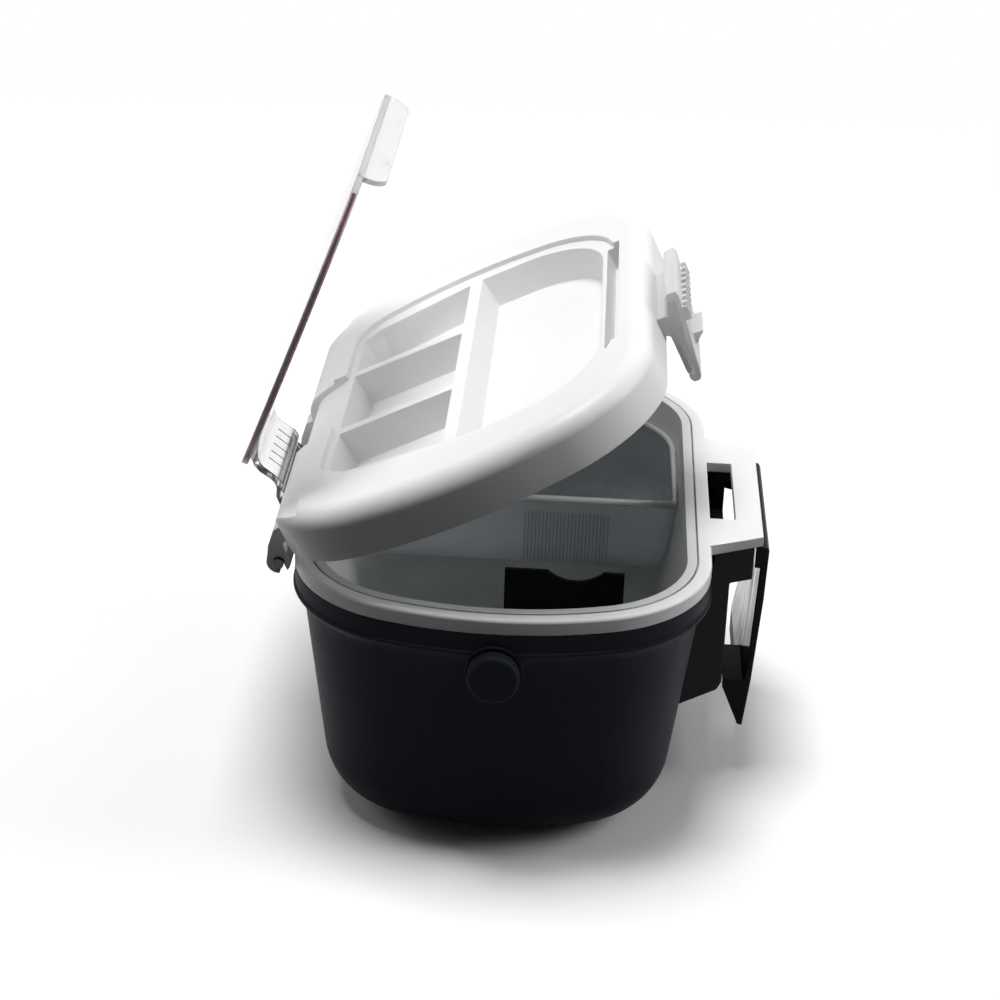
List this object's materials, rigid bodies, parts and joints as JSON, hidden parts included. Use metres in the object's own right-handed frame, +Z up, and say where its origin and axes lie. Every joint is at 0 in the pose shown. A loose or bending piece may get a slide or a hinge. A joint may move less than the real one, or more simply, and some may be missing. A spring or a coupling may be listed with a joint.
{
  "type": "worm bait box",
  "caption": "Two-wall belt box for live worms: compartment lid with clear cover, snap latch, belt clip, lift-out tray and divider.",
  "frame": {"origin": "middle of the base, on the floor", "axes": "+X to the latch and belt clip, -X to the hinge, +Y along the box to its far end, +Z up"},
  "size_m": [0.1446, 0.1782, 0.1764],
  "materials": {
    "navy_shell": "matte",
    "white_shell": "satin",
    "grey_liner": "satin",
    "black_plastic": "satin",
    "clear_tray": "clear",
    "clear_cover": "clear",
    "seal_rubber": "matte",
    "steel": "brushed"
  },
  "bodies": {
    "tub": {"outer_tub": "navy_shell", "rim_frame": "white_shell", "inner_liner": "grey_liner", "belt_bracket": "black_plastic", "bracket_screws": "steel", "strap_stud_near": "navy_shell", "strap_stud_far": "navy_shell", "stud_screws": "steel", "hinge_rod": "steel"},
    "clip": {"belt_clip": "black_plastic"},
    "tray": {"bait_tray": "clear_tray"},
    "divider": {"divider_plate": "black_plastic"},
    "lid": {"lid_shell": "white_shell", "lid_inner_panel": "white_shell", "lid_gasket": "seal_rubber", "latch_leg": "white_shell"},
    "tongue": {"latch_tongue": "white_shell"},
    "cover": {"clear_cover": "clear_cover"}
  },
  "joints": [
    {"name": "lid_hinge", "type": "hinge", "parent": "tub", "child": "lid", "pos_m": [-0.06, 0, 0.0715], "axis": [0, -1, 0], "range_deg": [-26.5, 68.5]},
    {"name": "cover_hinge", "type": "hinge", "parent": "lid", "child": "cover", "pos_m": [-0.06, 0, 0.0715], "axis": [0, -1, 0], "range_deg": [-42.7, 65]},
    {"name": "latch_flex", "type": "hinge", "parent": "lid", "child": "tongue", "pos_m": [0.04966, 0, 0.1178], "axis": [0, -1, 0], "range_deg": [0, 7], "stiffness_Nm_per_rad": 0.12},
    {"name": "clip_flex", "type": "hinge", "parent": "tub", "child": "clip", "pos_m": [0.069, 0, 0.07], "axis": [0, -1, 0], "range_deg": [0, 6], "stiffness_Nm_per_rad": 1.5},
    {"name": "tray_lift", "type": "slide", "parent": "tub", "child": "tray", "axis": [0, 0, 1], "range_m": [0, 0.006]},
    {"name": "divider_lift", "type": "slide", "parent": "tub", "child": "divider", "axis": [0, 0, 1], "range_m": [0, 0.03]}
  ]
}
